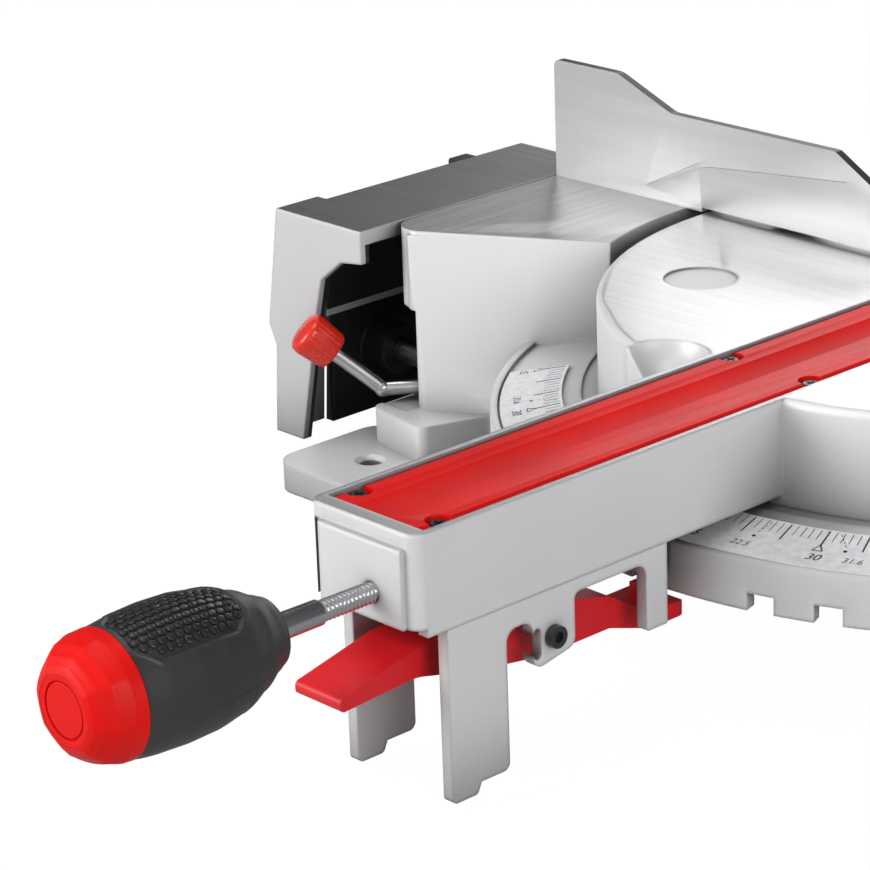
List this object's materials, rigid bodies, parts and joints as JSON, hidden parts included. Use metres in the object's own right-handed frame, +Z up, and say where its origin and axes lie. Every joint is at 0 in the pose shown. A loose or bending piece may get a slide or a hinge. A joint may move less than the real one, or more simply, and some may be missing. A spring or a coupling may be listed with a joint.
{
  "type": "mitre saw",
  "caption": "Sliding compound mitre saw with a mitre turntable and arm, detent lever, lock handle, fence, side extensions and a tilting, sliding cutting head.",
  "frame": {"origin": "centre of the four bench bolt holes, on the bench, under the turntable's axis", "axes": "+Z up, +X to the operator's right along the fence, +Y away from the operator"},
  "size_m": [0.638, 1.014, 0.5512],
  "materials": {
    "cast_silver": "satin",
    "machined": "brushed",
    "steel": "brushed",
    "rail_chrome": "polished",
    "red_plastic": "gloss",
    "red_lever": "fine texture",
    "black_plastic": "fine texture",
    "grip_rubber": "moulded",
    "black_screw": "black oxide",
    "scale_plate": "anodised",
    "blade_steel": "ground"
  },
  "bodies": {
    "base": {"base_casting": "cast_silver", "mitre_scale": "scale_plate", "fence": "machined", "fence_bolts": "steel", "pivot_bolt": "steel"},
    "extension_l": {"extension_left": "cast_silver", "extension_rods_left": "steel", "extension_stop_left": "black_plastic"},
    "extension_r": {"extension_right": "cast_silver", "extension_rods_right": "steel", "extension_stop_right": "black_plastic"},
    "lock_lever_l": {"lock_lever_left": "steel", "lock_knob_left": "red_plastic"},
    "lock_lever_r": {"lock_lever_right": "steel", "lock_knob_right": "red_plastic"},
    "table": {"turntable": "cast_silver", "kerf_insert": "red_plastic", "insert_screws": "black_screw", "mitre_pointer": "red_plastic", "arm_bracket": "cast_silver", "bracket_screw": "black_screw", "detent_pin": "steel", "detent_spring": "steel", "bevel_scale": "scale_plate", "bevel_bolt": "steel"},
    "detent": {"detent_lever": "red_lever"},
    "mitre_handle": {"lock_rod": "steel", "handle_grip": "grip_rubber", "handle_cap": "red_plastic"},
    "shoe": {"lock_shoe": "steel"},
    "bevel": {"bevel_arm": "cast_silver", "bevel_pointer": "red_plastic", "rail_bushes": "black_plastic"},
    "bevel_lock": {"bevel_lock_lever": "black_plastic"},
    "rail_lock": {"rail_lock_knob": "black_plastic"},
    "slider": {"carriage": "cast_silver", "slide_rails": "rail_chrome", "rail_end_cap": "black_plastic", "chop_pin": "steel", "chop_spring": "steel"},
    "latch": {"latch_pin": "steel"},
    "head": {"head_casting": "cast_silver", "upper_guard": "cast_silver", "blade_cover_plate": "steel", "motor_housing": "black_plastic", "motor_end_cap": "black_plastic", "brush_caps": "black_plastic", "d_handle_left": "grip_rubber", "d_handle_right": "grip_rubber", "cord_gland": "grip_rubber", "dust_spout": "black_plastic", "head_bearings": "steel"},
    "trigger_body": {"trigger": "red_plastic"},
    "button": {"lock_off_button": "red_plastic"},
    "guard": {"lower_guard": "red_plastic"},
    "blade_body": {"blade": "blade_steel", "arbor_flanges": "steel", "arbor_bolt": "black_screw", "spindle": "steel"},
    "rotor": {"armature": "steel"}
  },
  "joints": [
    {"name": "mitre", "type": "hinge", "parent": "base", "child": "table", "pos_m": [0, 0, 0.11], "axis": [0, 0, 1], "range_deg": [-45, 45]},
    {"name": "extension_slide_l", "type": "slide", "parent": "base", "child": "extension_l", "axis": [-1, 0, 0], "range_m": [0, 0.08]},
    {"name": "extension_slide_r", "type": "slide", "parent": "base", "child": "extension_r", "axis": [1, 0, 0], "range_m": [0, 0.08]},
    {"name": "extension_lock_l", "type": "hinge", "parent": "base", "child": "lock_lever_l", "pos_m": [-0.238, -0.086, 0.034], "axis": [0, 1, 0], "range_deg": [0, 30]},
    {"name": "extension_lock_r", "type": "hinge", "parent": "base", "child": "lock_lever_r", "pos_m": [0.238, -0.086, 0.034], "axis": [0, -1, 0], "range_deg": [0, 30]},
    {"name": "detent_engage", "type": "hinge", "parent": "table", "child": "detent", "pos_m": [0, -0.28, 0.053], "axis": [1, 0, 0], "range_deg": [0, 4.5]},
    {"name": "handle_turn", "type": "hinge", "parent": "table", "child": "mitre_handle", "pos_m": [0.0065, -0.345, 0.0847], "axis": [0, 1, 0], "range_deg": [0, 270]},
    {"name": "shoe_slide", "type": "slide", "parent": "table", "child": "shoe", "axis": [0, 1, 0], "range_m": [0, 0.001]},
    {"name": "bevel_tilt", "type": "hinge", "parent": "table", "child": "bevel", "pos_m": [0, 0.232, 0.11], "axis": [0, -1, 0], "range_deg": [0, 45]},
    {"name": "bevel_lock", "type": "hinge", "parent": "table", "child": "bevel_lock", "pos_m": [0, 0.286, 0.11], "axis": [0, 1, 0], "range_deg": [0, 60]},
    {"name": "rail_lock", "type": "hinge", "parent": "bevel", "child": "rail_lock", "pos_m": [0.054, 0.279, 0.332], "axis": [1, 0, 0], "range_deg": [0, 180]},
    {"name": "rail_slide", "type": "slide", "parent": "bevel", "child": "slider", "axis": [0, -1, 0], "range_m": [0, 0.2]},
    {"name": "chop", "type": "hinge", "parent": "slider", "child": "head", "pos_m": [0, 0.184, 0.302], "axis": [1, 0, 0], "range_deg": [0, 40]},
    {"name": "latch_slide", "type": "slide", "parent": "slider", "child": "latch", "axis": [1, 0, 0], "range_m": [0, 0.0035]},
    {"name": "trigger_pull", "type": "slide", "parent": "head", "child": "trigger_body", "axis": [0, 0.1564, 0.9877], "range_m": [0, 0.005], "stiffness_N_per_m": 900, "springref_m": -0.004},
    {"name": "button_push", "type": "slide", "parent": "head", "child": "button", "axis": [-1, 0, 0], "range_m": [0, 0.004], "stiffness_N_per_m": 900, "springref_m": -0.003},
    {"name": "blade_spin", "type": "hinge", "parent": "head", "child": "blade_body", "pos_m": [0, 0.03151, 0.34119], "axis": [1, 0, 0], "continuous": true},
    {"name": "rotor_spin", "type": "hinge", "parent": "head", "child": "rotor", "pos_m": [0, 0.07843, 0.35665], "axis": [1, 0, 0], "continuous": true},
    {"name": "guard_turn", "type": "hinge", "parent": "head", "child": "guard", "pos_m": [0, 0.03151, 0.34119], "axis": [-1, 0, 0], "range_deg": [0, 150]}
  ],
  "couplings": [
    {"joint": "guard_turn", "follows": "chop", "ratio": 3.75},
    {"joint": "rotor_spin", "follows": "blade_spin", "ratio": -2.6667},
    {"joint": "shoe_slide", "follows": "handle_turn", "m_per_rad": 0.00021221}
  ]
}
